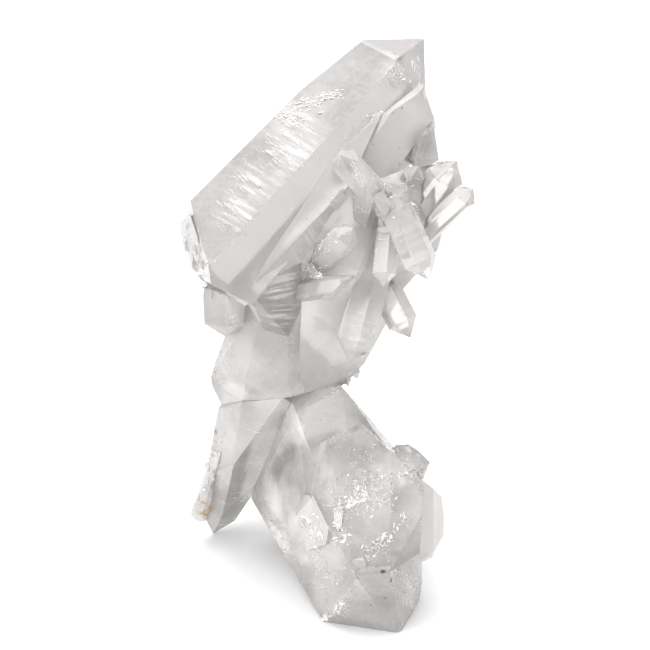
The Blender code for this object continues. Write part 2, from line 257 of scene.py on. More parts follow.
# %% The crystal's own axes
def own_axes(tip, root):
    """Across, towards the reader and along the crystal, with the tip as the middle."""
    along = (tip - root).normalized()
    toward = (READER - along * READER.dot(along)).normalized()
    turned = Matrix((along.cross(toward), toward, along)).transposed().to_4x4()
    return Matrix.Translation(tip) @ turned


# %% A whole crystal
SPARE = 0.1  # metres of cube beyond the crystal, for the planes to cut away


def crystal(tip, root, turn=0, widths=5, spread=1, chips=()):
    tip, root = at(*tip), at(*root)
    axes = own_axes(tip, root)
    side_way, toward, axis = (axes.col[i].to_3d() for i in range(3))
    corners = section(turn, widths)
    block = bmesh.new()
    bmesh.ops.create_cube(block, size=4 * (tip - root).length + SPARE)
    bmesh.ops.translate(block, verts=block.verts, vec=(tip + root) / 2)
    cut(block, root, -axis)
    for side in range(SIDES):
        here, there = corners[side] * MM, corners[(side + 1) % SIDES] * MM
        first = tip + side_way * here.x + toward * here.y
        second = tip + side_way * there.x + toward * there.y
        third = root + (side_way * here.x + toward * here.y) * spread
        cut(block, first, (third - first).cross(second - first).normalized())
        angle = math.radians(turn + SIDE_TURN * side)
        outward = side_way * math.sin(angle) + toward * math.cos(angle)
        cut(block, tip, outward * math.sin(POINT_SLOPE) + axis * math.cos(POINT_SLOPE))
    for spot, way in chips:
        cut(block, at(*spot), ACROSS * way[0] + UP * way[1] + READER * way[2])
    bmesh.ops.recalc_face_normals(block, faces=block.faces)
    return block


# %% A stout crystal or a chip, as the tight skin around its corners
ALMOST_FLAT = math.radians(1)


def skin_around(corners):
    block = bmesh.new()
    for corner in corners:
        block.verts.new(corner)
    bmesh.ops.convex_hull(block, input=block.verts)
    bmesh.ops.delete(block, geom=[v for v in block.verts if not v.link_faces], context="VERTS")
    bmesh.ops.recalc_face_normals(block, faces=block.faces)
    return block


def stout_crystal(corners):
    block = skin_around(at(*corner) for corner in corners)
    bmesh.ops.dissolve_limit(block, angle_limit=ALMOST_FLAT, verts=block.verts, edges=block.edges)
    bmesh.ops.recalc_face_normals(block, faces=block.faces)
    return block


# %% [markdown]
# ## Eased edges and finishes
# A fresh quartz edge is sharp, but a handled specimen's edges are worn by about a tenth of a
# millimetre, and that thin band is what catches the light along every edge. A bevel on each block
# before the blocks are joined gives it, while the inner corners where two crystals meet stay crisp.
# Each face also notes which crystal it belongs to and which finish it takes, so that one joined mesh
# can still carry the growth lines of every crystal in its own direction.

# %% Ease the edges of one block
EDGE_ANGLE = math.radians(9)
WORN, SLIGHTLY_WORN, HARDLY_WORN = 0.12, 0.07, 0.05  # millimetres
SMALL_REACH = 20 * MM  # a block no longer than this is a small one


def ease(block, width):
    sharp = [e for e in block.edges if e.is_manifold and e.calc_face_angle(0) > EDGE_ANGLE]
    bmesh.ops.bevel(
        block, geom=sharp, offset=width * MM, offset_type="OFFSET", affect="EDGES", segments=2,
        profile=0.5, material=-1, clamp_overlap=True,
    )


# %% Which finish each crystal takes: the small clear points aren't listed
FINISHES = ["plain", "smooth", "silky", "pale", "clear", "hazy", "cloudy", "flawed", "rind"]
FINISH_OF = {
    "great_point": "plain", "second_point": "smooth", "side_band": "smooth", "trunk": "smooth",
    "apron": "silky", "waist": "cloudy", "core": "cloudy", "left_leg": "cloudy",
    "left_knob": "cloudy", "left_rind": "rind", "broken_end": "rind", "right_leg": "flawed",
    "front_leg": "flawed", "bulge": "pale", "rubble": "flawed", "glassy_facet": "pale",
    "shoulder": "smooth", "fan_root": "hazy", "ledge_point": "hazy", "blade_broad": "hazy",
    "fan_inner": "hazy", "spur_upper": "hazy", "back_low": "flawed", "back_high": "smooth",
    "back_left": "cloudy", "back_foot": "flawed",
}


def finish_of(name, face):
    """Streaked face of the great point silky, broken root rind, right side the paler smooth: painted
    light.
    """
    finish = FINISH_OF.get(name, "clear")
    if name == "great_point":
        right, up, front = (face.normal.dot(way) for way in (ACROSS, UP, READER))
        if right < -0.25 and front > 0.3:
            finish = "silky"
        elif up < -0.5 and right < -0.35:
            finish = "rind"
        # Painted light: a paler finish lightens the right side, which gets less light
        elif up > 0 and right > 0.3:
            finish = "smooth"
    return FINISHES.index(finish)


# %% Make each block, mark its faces and ease it
names = [*CRYSTALS, *BLOCKS]
blocks = [crystal(**drawn) for drawn in CRYSTALS.values()]
blocks += [stout_crystal(corners) for corners in BLOCKS.values()]


def mark(block, number, finish_for):
    """Notes on each face the number of its crystal and its finish."""
    whose = block.faces.layers.int.new("crystal")
    for face in block.faces:
        face[whose] = number
        face.material_index = finish_for(face)


for number, (name, block) in enumerate(zip(names, blocks)):
    mark(block, number, lambda face: finish_of(name, face))
    start = next(iter(block.verts)).co
    reach = max((v.co - start).length for v in block.verts)
    ease(block, WORN if reach > SMALL_REACH else SLIGHTLY_WORN)
print(len(blocks), "blocks,", sum(len(b.faces) for b in blocks), "faces")

# %% [markdown]
# ## Growing together
# The crystals grew as one, so the light passes from one to the next without a surface in between. An
# exact Boolean union joins them, one after the other, and takes away every face inside.

# %% Join the blocks
finish_materials = [bpy.data.materials.new("quartz_" + finish) for finish in FINISHES]


def as_object(block, name):
    mesh = bpy.data.meshes.new(name)
    block.to_mesh(mesh)
    block.free()
    for material in finish_materials:
        mesh.materials.append(material)
    thing = bpy.data.objects.new(name, mesh)
    bpy.context.collection.objects.link(thing)
    return thing


def join(body, other):
    union = body.modifiers.new("union", "BOOLEAN")
    union.operation = "UNION"
    union.solver = "EXACT"
    union.object = other
    bpy.context.view_layer.objects.active = body
    bpy.ops.object.modifier_apply(modifier=union.name)
    bpy.data.objects.remove(other)


cluster = as_object(blocks[0], names[0])
for name, block in zip(names[1:], blocks[1:]):
    join(cluster, as_object(block, name))
cluster.name = cluster.data.name = "quartz_body"
print(len(cluster.data.polygons), "faces after the union")

# %% [markdown]
# ## Finding a place on the front
# Chips, clouds, streaks and stains sit at known places of the front. It is easiest to point at them in
# the camera's own square frame of 650 by 650 and to let a ray find the spot on the crystal, so that
# each one really lies on the stone, seen from any side.

# %% A ray from the camera's place
FRAME = 650
AWAY = 0.8  # metres from the camera to the middle of the view
WIDE = 0.1625  # how wide the view is at the sheet through the front foot, in metres
VIEW_UP = 76.75  # how far up that sheet the middle of the view is, in millimetres
AIM = at(0, VIEW_UP, VIEW_UP * math.sin(LEAN))
EYE = AIM + READER * AWAY
STEPS_INWARDS = 20


def skin_of(thing):
    return BVHTree.FromPolygons(
        [v.co for v in thing.data.vertices], [p.vertices for p in thing.data.polygons]
    )


skin_tree = skin_of(cluster)


def way_to(x, y):
    spot = AIM + (ACROSS * (x / FRAME - 0.5) + UP * (0.5 - y / FRAME)) * WIDE
    return (spot - EYE).normalized()


def seen(x, y, deeper=0):
    """The place on the cluster at x, y of the frame, or that many millimetres behind it."""
    for _ in range(STEPS_INWARDS):
        hit = skin_tree.ray_cast(EYE, way_to(x, y))[0]
        if hit is not None:
            return hit + way_to(x, y) * deeper * MM
        x += math.copysign(1, FRAME / 2 - x)  # just beside the outline
    raise ValueError(f"nothing near {x}, {y}")


def scattered(x, y, spread_x, spread_y, deeper):
    """A random place near x, y that is on the cluster."""
    while True:
        there = way_to(x + chance.gauss(0, spread_x), y + chance.gauss(0, spread_y))
        hit = skin_tree.ray_cast(EYE, there)[0]
        if hit is not None:
            return hit + there * deeper * MM


RIDGE = (282, 188)  # on the edge between the great point's two wide faces
print("the great point's ridge is at", [round(c, 4) for c in seen(*RIDGE)])

# %% [markdown]
# ## Small crystals and broken edges
# Where the great point broke off and where the left leg grew against rock, the edge is a crust of
# small chips. A displaced surface would look like clay there, because quartz breaks into flat facets.
# So each chip is the tight skin around a handful of scattered points, sunk into the edge, and joined to
# the body like every other crystal. A few small crystals that stand on the big faces are made the same
# way from their corners.

# %% Chips along the broken edges: finish, then x, y in the frame and radius in millimetres
CRUSTS = {
    "broken_root": (
        "rind", (186, 240, 1.5), (189, 249, 1.6), (193, 258, 1.8), (197, 268, 1.9), (201, 278, 1.7),
        (205, 288, 1.5), (197, 250, 1.6), (203, 266, 1.6), (208, 284, 1.4), (190, 232, 1.5),
        (212, 292, 1.4), (188, 226, 1.2),
    ),
    "left_leg_crust": (
        "rind", (217, 432, 1.2), (216, 444, 1.4), (214, 455, 1.5), (211, 466, 1.6), (208, 477, 1.6),
        (205, 488, 1.6), (202, 498, 1.6), (200, 508, 1.4), (204, 515, 1.2), (214, 470, 1.4),
        (210, 490, 1.3), (217, 456, 1.2),
    ),
    "side_crust": (
        "clear", (388, 194, 1.3), (396, 200, 1.4), (404, 198, 1.2), (411, 206, 1.2), (382, 190, 1),
        (393, 208, 1.1),
    ),
    "foot_crust": (
        "rind", (399, 451, 1.3), (408, 452, 1.5), (416, 458, 1.4), (423, 463, 1.2), (404, 461, 1.3),
        (413, 467, 1.3), (394, 449, 1), (421, 471, 1.1),
    ),
    "leg_step": (
        "flawed", (367, 573, 0.9), (373, 574, 1), (379, 573, 1.2), (386, 574, 1), (392, 572, 1.1),
        (398, 569, 0.9),
    ),
    "waist_crust": (
        "rind", (216, 362, 1), (215, 371, 1), (219, 352, 1), (354, 373, 1.7), (347, 380, 1.6),
        (359, 363, 1.7), (339, 385, 1.3), (351, 381, 1.5), (361, 354, 1.4), (350, 372, 1.4),
    ),
}
CHIP_CORNERS = 9
SUNK = 0.45  # how deep a chip's middle lies, as a share of its radius
chance = random.Random(11)


def inside(spot, margin=0.1):
    """The spot, held inside the whole stone's own box by a margin in millimetres."""
    low, high = SOLID_BOX
    return Vector([min(max(c, a + margin * MM), b - margin * MM) for c, a, b in zip(spot, low, high)])


def any_way():
    return Vector((chance.gauss(0, 1), chance.gauss(0, 1), chance.gauss(0, 1))).normalized()


def chip(centre, radius):
    """A flat-faced splinter: the skin around a few points of a squashed ball."""
    squash = Vector((chance.uniform(0.6, 1.1), chance.uniform(0.6, 1.1), chance.uniform(0.7, 1.2)))
    corners = (centre + any_way() * squash * radius * MM for _ in range(CHIP_CORNERS))
    return skin_around(inside(corner) for corner in corners)


# %% Small crystals on the faces: depth of the root, finish, then corners as x, y and lift
SMALL = {
    "dark_wedge": (3, "clear", (302, 265, 0.6), (313, 265, 1.6), (324, 279, 1.4), (307, 279, 0.5)),
    "round_pebble": (
        2, "smooth", (352, 560, 0.5), (359, 557, 0.9), (366, 562, 0.8), (366, 570, 0.6),
        (360, 575, 0.3), (353, 572, 0.4),
    ),
    "pale_lump": (
        2, "pale", (335, 508, 0.3), (340, 504, 0.8), (343, 511, 1), (342, 524, 0.9), (338, 531, 0.4),
        (334, 521, 0.4),
    ),
    "toe_scale": (
        2, "flawed", (355, 572, 0.3), (366, 566, 0.8), (391, 566, 0.7), (399, 573, 0.2),
        (388, 585, 0.4), (364, 587, 0.4),
    ),
    "shoulder_scale": (
        3, "hazy", (407, 161, 0.2), (416, 140, 0.8), (428, 126, 0.4), (431, 142, 0.8), (421, 160, 0.8),
    ),
    "tip_lens": (
        1.5, "clear", (383, 57, 0.1), (394, 53, 0.3), (405, 55, 0.1), (400, 60, 0.2), (388, 61, 0.1),
    ),
    "tip_facet": (
        1.5, "pale", (389, 75, 0.3), (398, 72, 0.4), (402, 80, 0.4), (396, 88, 0.2), (390, 84, 0.2),
    ),
    "step_facet": (1.5, "pale", (370, 123, 0.2), (375, 112, 0.5), (384, 112, 0.5), (379, 123, 0.3)),
    "middle_facet": (
        2, "pale", (331, 193, 0.3), (343, 188, 0.6), (345, 200, 0.6), (337, 210, 0.4), (330, 203, 0.2),
    ),
    "ledge_facet": (
        1.5, "pale", (338, 230, 0.4), (346, 226, 0.7), (353, 229, 0.7), (350, 235, 0.5),
        (340, 235, 0.3),
    ),
    "trunk_scale": (
        3, "hazy", (372, 196, 0.4), (383, 190, 1.2), (391, 205, 1.4), (384, 222, 0.8), (374, 214, 0.4),
    ),
    "fan_scale": (
        3, "hazy", (352, 196, 0.2), (366, 186, 1.2), (374, 200, 1.4), (366, 228, 1), (354, 220, 0.3),
    ),
}


def small_crystal(corners, depth):
    return skin_around(inside(seen(x, y, way)) for x, y, lift in corners for way in (-lift, depth))


# %% Join them to the body
small = []
for name, (kind, *chips) in CRUSTS.items():
    small += [(name, kind, chip(seen(x, y, radius * SUNK), radius)) for x, y, radius in chips]
for name, (depth, kind, *corners) in SMALL.items():
    small.append((name, kind, small_crystal(corners, depth)))
for name, kind, block in small:
    mark(block, len(names), lambda face: FINISHES.index(kind))
    names.append(name)
    ease(block, HARDLY_WORN)
    join(cluster, as_object(block, name))
print(len(small), "small crystals;", len(cluster.data.polygons), "faces")

# %% Cut it level where it stands
SEAM = 4e-6  # metres: corners nearer than this are one
skin = bmesh.new()
skin.from_mesh(cluster.data)
bmesh.ops.remove_doubles(skin, verts=skin.verts, dist=SEAM)
cut(skin, Vector((0, 0, 0)), Vector((0, 0, -1)))
bmesh.ops.recalc_face_normals(skin, faces=skin.faces)
skin.to_mesh(cluster.data)
skin.free()
skin_tree = skin_of(cluster)
print(len(cluster.data.polygons), "faces, standing level")

# %% [markdown]
# ## Each crystal's own growth direction
# Growth lines and streaks lie square to a crystal's long axis. Every face corner gets the place of its
# point in the axes of the crystal that it belongs to, and the finishes read that as their coordinates,
# so one material draws its lines the right way on every crystal. A second attribute, 1 on the faces
# that turn away from the reader, lets the finishes strew their flaws there by noise alone, while the
# flaws of the front sit at their own places.

# %% The long axis of each crystal: a prism has its own, and a stout crystal's is given here
RIGHT_LEG_GRAIN = ((14, 0, 6), (-8, 60, 34))
LEFT_LEG_GRAIN = ((-30, 20, 50), (-14, 58, 32))
WAIST_GRAIN = ((-10, 88, 16), (-18, 57, 36))
UPRIGHT = ((0, 80, 20), (0, 40, 20))
GRAIN_OF = {
    "right_leg": RIGHT_LEG_GRAIN, "front_leg": RIGHT_LEG_GRAIN, "left_leg": LEFT_LEG_GRAIN,
    "left_rind": LEFT_LEG_GRAIN, "waist": WAIST_GRAIN, "core": WAIST_GRAIN,
    "trunk": ((12, 112, 22), (-8, 62, 28)), "apron": ((-6, 90, 14), (-14, 72, 20)),
}
GRAIN_OF |= {name: (drawn["tip"], drawn["root"]) for name, drawn in CRYSTALS.items()}
GRAIN_OF["side_band"] = GRAIN_OF["great_point"]
growth_axes = []
for name in names:
    tip, root = GRAIN_OF.get(name, UPRIGHT)
    growth_axes.append(own_axes(at(*tip), at(*root)).inverted())
print(len(growth_axes), "sets of axes")

# %% Write both attributes
TURNED_AWAY = 0.05  # a face that looks less than this towards the reader is hidden
mesh = cluster.data
mesh.attributes.new("growth", "FLOAT_VECTOR", "CORNER")
mesh.attributes.new("behind", "FLOAT", "CORNER")
growth, behind, whose = (mesh.attributes[name].data for name in ("growth", "behind", "crystal"))
for face in mesh.polygons:
    axes = growth_axes[whose[face.index].value]
    hidden = 1 if face.normal.dot(READER) < TURNED_AWAY else 0
    for corner in face.loop_indices:
        growth[corner].vector = axes @ mesh.vertices[mesh.loops[corner].vertex_index].co
        behind[corner].value = hidden
print("growth coordinates on", len(mesh.loops), "corners")

# %% [markdown]
# ## The effects, as node groups
# Five effects make the stone: growth lines, silk, milk, healed cracks and specks. Each is a node group
# of noise that gives one mask or one height, so a finish can take as much of each as it needs. Growth
# coordinates make the lines and the silk; places on the object make the rest.

# %% Helpers for wiring nodes: a socket knows which tree it is in
def add(tree, kind, **settings):
    """Makes a node and gives it its settings."""
    node = tree.nodes.new("ShaderNode" + kind)
    for key, value in settings.items():
        setattr(node, key, value)
    return node


def feed(source, target):
    """Wires a socket to another, or sets the other to a plain value."""
    if isinstance(source, bpy.types.NodeSocket):
        target.id_data.links.new(source, target)
    else:
        target.default_value = source


def new_group(name, inputs, outputs):
    tree = bpy.data.node_groups.new(name, "ShaderNodeTree")
    for label, kind in inputs:
        tree.interface.new_socket(label, in_out="INPUT", socket_type="NodeSocket" + kind)
    for label in outputs:
        tree.interface.new_socket(label, in_out="OUTPUT", socket_type="NodeSocketFloat")
    return tree, tree.nodes.new("NodeGroupInput").outputs, tree.nodes.new("NodeGroupOutput").inputs


# %% Noise, ramps, sums and blends
EVEN = (1, 1, 1)


def noise(place, scale, detail=2, stretch=EVEN, distortion=0):
    """Clouds of about 1 / scale metres. Coordinates are scaled by stretch first, for streaks."""
    mapping = add(place.id_data, "Mapping")
    feed(stretch, mapping.inputs["Scale"])
    feed(place, mapping.inputs["Vector"])
    cloud = add(place.id_data, "TexNoise")
    feed(scale, cloud.inputs["Scale"])
    feed(detail, cloud.inputs["Detail"])
    feed(distortion, cloud.inputs["Distortion"])
    feed(mapping.outputs["Vector"], cloud.inputs["Vector"])
    return cloud.outputs["Fac"]


def ramp(value, low, high):
    """0 below low and 1 above high, with a smooth rise between."""
    node = add(value.id_data, "MapRange", interpolation_type="SMOOTHSTEP", clamp=True)
    feed(low, node.inputs["From Min"])
    feed(high, node.inputs["From Max"])
    feed(value, node.inputs["Value"])
    return node.outputs["Result"]


def plus(first, second, operation="ADD"):
    node = add(first.id_data, "Math", operation=operation)
    feed(first, node.inputs[0])
    feed(second, node.inputs[1])
    return node.outputs[0]


def times(first, second):
    return plus(first, second, "MULTIPLY")


def blend_colours(factor, first, second):
    node = add(factor.id_data, "Mix", data_type="RGBA")
    feed(factor, node.inputs["Factor"])
    for value, socket in zip((first, second), [s for s in node.inputs if s.type == "RGBA"]):
        feed(value, socket)
    return [s for s in node.outputs if s.type == "RGBA"][0]


# %% Growth lines: fine steps square to the long axis
lines, given, result = new_group(
    "growth_lines", [("Growth", "Vector"), ("Strength", "Float")], ["Height"]
)
fine = noise(given["Growth"], 1400, 3, stretch=(0.05, 0.05, 1))
broad = noise(given["Growth"], 350, 2, stretch=(0.12, 0.12, 1))
feed(times(plus(times(fine, 0.5), broad), given["Strength"]), result["Height"])

# %% Silk: bright threads that run across the crystal, in patches
silk, given, result = new_group("silk_streaks", [("Growth", "Vector"), ("Amount", "Float")], ["Mask"])
threads = ramp(noise(given["Growth"], 900, 4, stretch=(0.07, 0.07, 1), distortion=0.3), 0.44, 0.62)
patches = ramp(noise(given["Growth"], 90, 3, stretch=(0.5, 0.5, 1)), 0.36, 0.56)
feed(times(times(threads, patches), given["Amount"]), result["Mask"])

# %% Milk: soft clouds
milk, given, result = new_group(
    "milk_clouds", [("Place", "Vector"), ("Scale", "Float")], ["Mask", "Fine"]
)
cloud = add(milk, "TexNoise")
settings = {"Detail": 6, "Roughness": 0.6, "Vector": given["Place"], "Scale": given["Scale"]}
for label, value in settings.items():
    feed(value, cloud.inputs[label])
feed(ramp(cloud.outputs["Fac"], 0.3, 0.7), result["Mask"])
feed(noise(given["Place"], 700, 4), result["Fine"])

# %% Healed cracks: the walls between cells whose places are shaken by noise
cracks, given, result = new_group("healed_cracks", [("Place", "Vector"), ("Size", "Float")], ["Mask"])
SHAKE = 6 * MM
wobble = add(cracks, "TexNoise")
for label, value in (("Scale", 160), ("Detail", 4), ("Vector", given["Place"])):
    feed(value, wobble.inputs[label])
shifted = add(cracks, "VectorMath", operation="MULTIPLY_ADD")
for number, value in enumerate((wobble.outputs["Color"], (SHAKE, SHAKE, SHAKE), given["Place"])):
    feed(value, shifted.inputs[number])
cells = add(cracks, "TexVoronoi", feature="DISTANCE_TO_EDGE")
feed(shifted.outputs[0], cells.inputs["Vector"])
feed(given["Size"], cells.inputs["Scale"])
thin = ramp(cells.outputs["Distance"], 0.055, 0)
where = ramp(noise(given["Place"], 160, 3), 0.42, 0.55)
feed(times(thin, where), result["Mask"])

# %% Specks: the middles of a few cells
specks, given, result = new_group("dark_specks", [("Place", "Vector")], ["Mask"])
grains = add(specks, "TexVoronoi")
feed(given["Place"], grains.inputs["Vector"])
feed(620, grains.inputs["Scale"])
chosen = add(specks, "SeparateColor")
feed(grains.outputs["Color"], chosen.inputs[0])
small, few = ramp(grains.outputs["Distance"], 0.15, 0.07), ramp(chosen.outputs[0], 0.84, 0.88)
feed(times(small, few), result["Mask"])
print("node groups:", [group.name for group in (lines, silk, milk, cracks, specks)])

# %% [markdown]
# ## The nine finishes
# All of them are clear quartz with milk in it: a plain share of light goes through, the rest scatters.
# They differ in how grey, how milky, how rough and how flawed they are.

# %% What each finish is made of
# tone and milk are the greys of the clear and the cloudy stone, through is the share of light that
# passes, clouds and size are the noise scales of milk and cracks, and the rest are strengths.
PARTS = ("tone", "milk", "through", "rough", "lines", "silk", "clouds", "cracks", "size", "specks")
RECIPES = {
    "plain": (0.69, 0.76, 0.54, 0.16, 0.1, 0, 45, 0, 200, 0.5),
    "smooth": (0.74, 0.91, 0.5, 0.28, 0.15, 0.04, 45, 0.03, 200, 0.5),
    "silky": (0.39, 0.68, 0.54, 0.15, 0.3, 0.1, 60, 0.04, 220, 0.4),
    "pale": (0.94, 1, 0.48, 0.15, 0.3, 0.1, 80, 0.1, 300, 0.5),
    "clear": (0.89, 0.98, 0.68, 0.05, 0.5, 0.3, 90, 0.25, 300, 0.5),
    "hazy": (0.76, 0.9, 0.58, 0.1, 0.4, 0.25, 80, 0.2, 280, 0.6),
    "cloudy": (0.6, 0.8, 0.56, 0.25, 0.12, 0.04, 70, 0.06, 240, 0.5),
    "flawed": (0.61, 0.94, 0.62, 0.17, 0.2, 0.05, 80, 0.1, 340, 0.8),
    "rind": (0.74, 0.95, 0.4, 0.3, 0.5, 0.4, 200, 0.6, 420, 0.5),
}
print("light that goes through:", {kind: values[2] for kind, values in RECIPES.items()})

# %% [markdown]
# ## Flaws, painted light and painted shade at known places
# Noise alone would put the brightest streaks and the darkest corners anywhere. So silk, cracks, milk,
# painted shade, an orange stain and grit each also have their own places on the front, each a soft
# ball around a point of the stone. The milk is partly painted light, and the painted shade darkens
# faces where less light falls and paints a dark reflection on the tip. The ball is in the object's own
# space, so it lies still when the camera moves.

# %% Places of a flaw or of painted light or shade: x, y in the frame, radius in millimetres, strength
def spots(*rows):
    """Each also notes the finishes that it reaches, as only these draw it. Plain faces stay plain."""
    found = []
    for x, y, radius, strength in rows:
        centre = seen(x, y)
        reached = skin_tree.find_nearest_range(centre, radius * MM)
        kinds = {FINISHES[cluster.data.polygons[index].material_index] for _, _, index, _ in reached}
        found.append((centre, radius * MM, strength, kinds - {"plain"}))
    return found


SILK_SPOTS = spots(
    (240, 210, 8, 1), (255, 190, 8, 1), (270, 170, 9, 1), (288, 150, 9, 1), (303, 132, 8, 1),
    (228, 225, 6, 1), (303, 247, 6, 1), (312, 232, 5, 1), (282, 285, 7, 1), (285, 315, 7, 1),
    (222, 365, 4, 1), (346, 138, 4, 0.7), (362, 122, 4, 0.7), (418, 66, 4, 1), (360, 330, 6, 0.5),
    (330, 200, 5, 0.6), (325, 600, 7, 0.6), (318, 578, 6, 0.5), (350, 600, 6, 0.3), (340, 405, 6, 0.3),
    (298, 250, 4, 1), (310, 237, 5, 1), (320, 224, 4, 1), (382, 240, 5, 0.7), (395, 235, 5, 0.6),
    (300, 260, 4, 1),
)
CRACK_SPOTS = spots(
    (340, 500, 7, 0.8), (362, 478, 7, 0.7), (385, 500, 7, 0.5), (375, 545, 6, 0.8), (350, 530, 7, 0.8),
    (410, 480, 7, 0.8), (400, 525, 5, 0.7), (335, 610, 5, 0.8), (315, 540, 6, 0.8), (362, 445, 7, 0.5),
    (375, 175, 5, 1), (395, 200, 6, 1), (325, 570, 6, 1), (210, 470, 6, 1), (215, 370, 4, 1),
    (410, 590, 6, 0.8), (395, 75, 4, 1), (340, 440, 5, 0.4), (345, 400, 6, 0.2), (300, 520, 5, 0.6),
    (370, 400, 6, 0.2), (350, 185, 6, 0.8), (365, 215, 6, 0.6), (320, 262, 5, 0.8), (345, 255, 6, 0.5),
    (283, 110, 7, 0.5), (318, 245, 6, 0.7), (412, 182, 5, 0.8), (225, 180, 6, 0.4), (245, 165, 6, 0.4),
    (200, 215, 6, 0.5),
)
# Milk spots: partly real milky clouds, partly painted light that lightens faces shaded by their turn
MILK_AND_LIGHT_SPOTS = spots(
    (320, 100, 8, 0.7), (290, 117, 6, 1), (300, 140, 11, 1), (255, 185, 9, 0.4), (235, 215, 8, 0.3),
    (220, 365, 9, 1), (245, 350, 8, 1), (225, 305, 7, 1), (330, 400, 8, 1), (315, 420, 7, 1),
    (425, 520, 10, 1), (420, 500, 8, 1), (400, 470, 9, 1), (345, 490, 9, 1), (370, 500, 8, 0.7),
    (395, 70, 5, 0.8), (325, 590, 9, 1), (312, 560, 8, 1), (340, 210, 8, 1), (360, 200, 8, 1),
    (365, 190, 6, 1), (412, 590, 6, 1), (340, 430, 6, 1), (312, 530, 6, 1), (335, 230, 9, 1),
    (345, 260, 9, 1), (365, 280, 9, 0.8), (355, 315, 9, 0.8), (430, 545, 8, 1), (385, 270, 8, 0.8),
    (400, 130, 10, 1), (385, 150, 7, 0.9), (325, 572, 9, 1), (318, 585, 7, 1), (430, 525, 8, 1),
    (448, 190, 7, 0.7), (455, 200, 7, 0.7), (413, 68, 6, 0.8),
)
# Painted shade: grey spots where a face gets less light, and a painted dark reflection on the tip
PAINTED_SHADE_SPOTS = spots(
    (222, 490, 8, 0.6), (240, 475, 7, 0.6), (228, 512, 6, 0.6), (250, 455, 5, 0.5), (285, 425, 6, 0.5),
    (290, 455, 8, 0.75), (295, 500, 5, 0.6), (290, 478, 5, 0.7), (368, 420, 3, 0.6), (378, 434, 3, 0.6),
    (386, 446, 3, 0.6), (300, 485, 7, 0.7), (278, 465, 5, 0.6), (222, 500, 8, 0.2), (425, 143, 6, 0.6),
    (240, 420, 8, 0.35), (285, 445, 5, 0.6), (205, 235, 9, 0.3), (310, 590, 4, 0.3),
    (375, 600, 7, 0.35), (380, 585, 5, 0.3), (394, 56, 3, 0.7), (318, 340, 9, 0.25), (312, 262, 3, 0.5),
    (410, 240, 6, 0.3), (339, 177, 3, 0.5), (412, 184, 4, 0.5), (306, 276, 3, 0.4), (400, 500, 5, 0.25),
    (440, 190, 4, 0.3), (345, 168, 3, 0.4), (345, 383, 3, 0.5),
)
STAIN_SPOTS = spots((205, 512, 3.2, 1), (203, 505, 2, 1), (205, 283, 2.5, 0.25), (342, 384, 2, 0.3))
GRIT_SPOTS = spots(
    (383, 572, 1, 1), (391, 580, 1, 1), (298, 581, 0.6, 0.8), (376, 566, 0.5, 0.8),
    (408, 574, 0.5, 0.7), (371, 605, 0.4, 0.6), (385, 598, 0.4, 0.6), (336, 386, 0.7, 0.5),
    (343, 384, 0.6, 0.5), (220, 294, 0.4, 0.7), (402, 108, 0.4, 0.6), (433, 462, 0.5, 0.6),
    (232, 470, 0.4, 0.5), (240, 462, 0.4, 0.5), (330, 580, 0.4, 0.6),
)
print(len(SILK_SPOTS), "silk places,", len(CRACK_SPOTS), "cracked places")


# %% The strength of a flaw or painted shade, from 0 at a spot's radius to its full strength at the core
CORE = 0.25  # of the radius


def near(place, spots, kind):
    total = add(place.id_data, "Value").outputs[0]
    for centre, radius, strength, kinds in spots:
        if kind in kinds:
            away = add(place.id_data, "VectorMath", operation="DISTANCE")
            feed(place, away.inputs[0])
            feed(centre, away.inputs[1])
            here = times(ramp(away.outputs["Value"], radius, radius * CORE), strength)
            total = plus(total, here, "MAXIMUM")
    return total


# %% The colours of the flaws and of the painted shade, and what all finishes share
def grey(value):
    """A grey as warm as the stone."""
    return (value, value * 0.972, value * 0.955, 1)


# PAINTED_SHADE_GREY is the grey of the painted shade
PAINTED_SHADE_GREY, SILK_WHITE, CRACK_WHITE = grey(0.42), (1, 1, 1, 1), (1, 1, 0.99, 1)
GRIT, RUST = (0.08, 0.06, 0.045, 1), (0.62, 0.38, 0.12, 1)
QUARTZ_IOR = 1.544
BUMP_STRENGTH, BUMP_HEIGHT = 0.35, 0.0004
INNER_TINT, INNER_DENSITY = (0.86, 0.85, 0.84, 1), 9


# %% One finish's colour with painted light and shade, its clouds, threads and flaws for roughness and bump
def effect(tree, group, **values):
    node = add(tree, "Group", node_tree=group)
    for label, value in values.items():
        feed(value, node.inputs[label])
    return node.outputs


